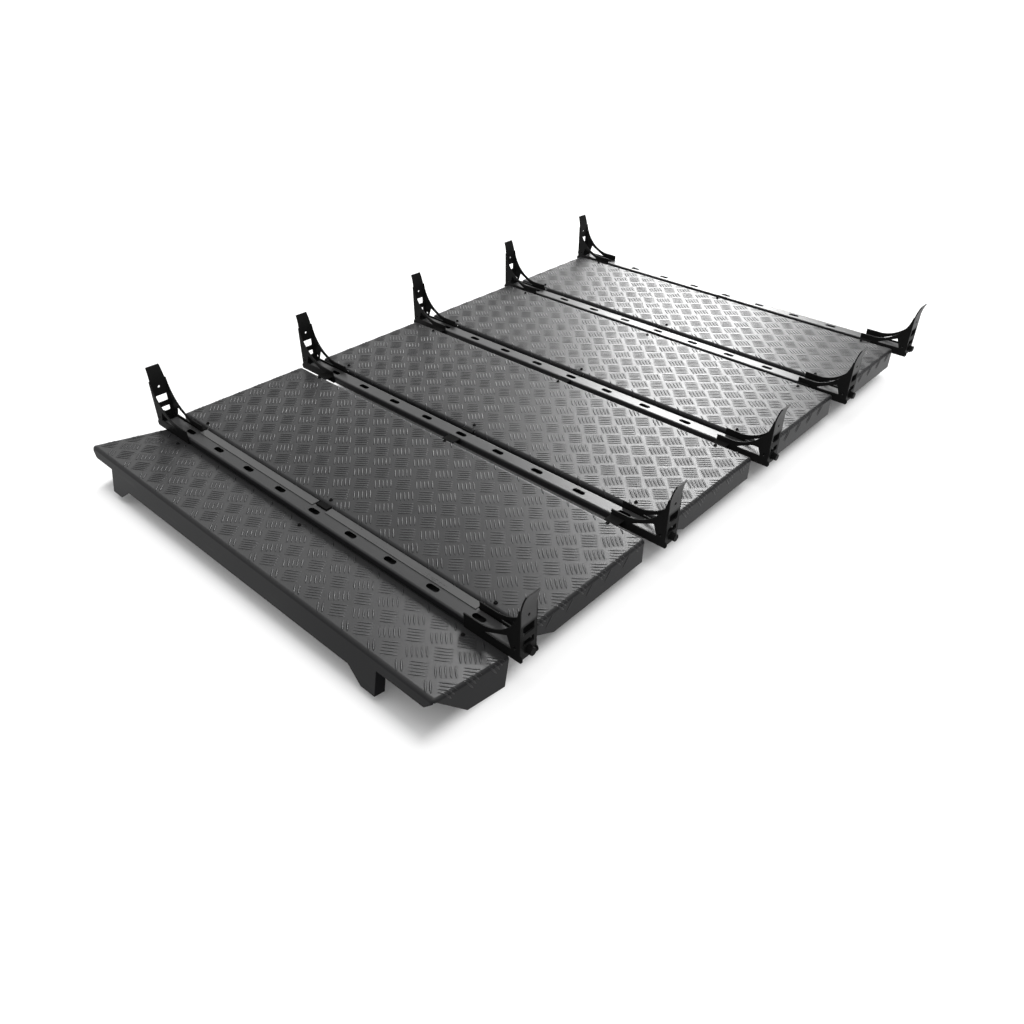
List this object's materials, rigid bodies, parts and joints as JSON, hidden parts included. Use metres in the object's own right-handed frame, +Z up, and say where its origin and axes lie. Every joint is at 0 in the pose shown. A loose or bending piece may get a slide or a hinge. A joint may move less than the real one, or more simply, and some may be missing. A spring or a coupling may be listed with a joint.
{
  "type": "roof rack deck with cross bars",
  "caption": "Flat roof rack deck: slotted cross bars with upright clamp brackets at their ends, and folded tread plate panels between the bars.",
  "frame": {"origin": "on the floor, under the middle of the whole deck", "axes": "+X along the cross bars to the right, +Y from the front panel to the rear bar, +Z up"},
  "size_m": [1.522, 2.3426, 0.27],
  "materials": {
    "bar_coat": "satin black powder coat",
    "bracket_coat": "satin black powder coat",
    "bolt_metal": "black plated",
    "cleat_coat": "satin black powder coat",
    "panel_coat": "dark grey powder coat on tread plate"
  },
  "bodies": {
    "root": {"cross_bar_1": "bar_coat", "cross_bar_2": "bar_coat", "cross_bar_3": "bar_coat", "cross_bar_4": "bar_coat", "cross_bar_5": "bar_coat", "bracket_1_left_cheeks": "bracket_coat", "bracket_1_left_blade": "bracket_coat", "bracket_1_right_cheeks": "bracket_coat", "bracket_1_right_blade": "bracket_coat", "bracket_2_left_cheeks": "bracket_coat", "bracket_2_left_blade": "bracket_coat", "bracket_2_right_cheeks": "bracket_coat", "bracket_2_right_blade": "bracket_coat", "bracket_3_left_cheeks": "bracket_coat", "bracket_3_left_blade": "bracket_coat", "bracket_3_right_cheeks": "bracket_coat", "bracket_3_right_blade": "bracket_coat", "bracket_4_left_cheeks": "bracket_coat", "bracket_4_left_blade": "bracket_coat", "bracket_4_right_cheeks": "bracket_coat", "bracket_4_right_blade": "bracket_coat", "bracket_5_left_cheeks": "bracket_coat", "bracket_5_left_blade": "bracket_coat", "bracket_5_right_cheeks": "bracket_coat", "bracket_5_right_blade": "bracket_coat", "clamp_bolts_1": "bolt_metal", "clamp_bolts_2": "bolt_metal", "clamp_bolts_3": "bolt_metal", "clamp_bolts_4": "bolt_metal", "clamp_bolts_5": "bolt_metal", "panel_cleats_1": "cleat_coat", "panel_cleats_2": "cleat_coat", "panel_cleats_3": "cleat_coat", "panel_cleats_4": "cleat_coat", "panel_cleats_5": "cleat_coat", "gap_strips": "bar_coat", "deck_panel_1": "panel_coat", "deck_panel_2": "panel_coat", "deck_panel_3": "panel_coat", "deck_panel_4": "panel_coat", "deck_panel_5": "panel_coat"}
  },
  "joints": []
}
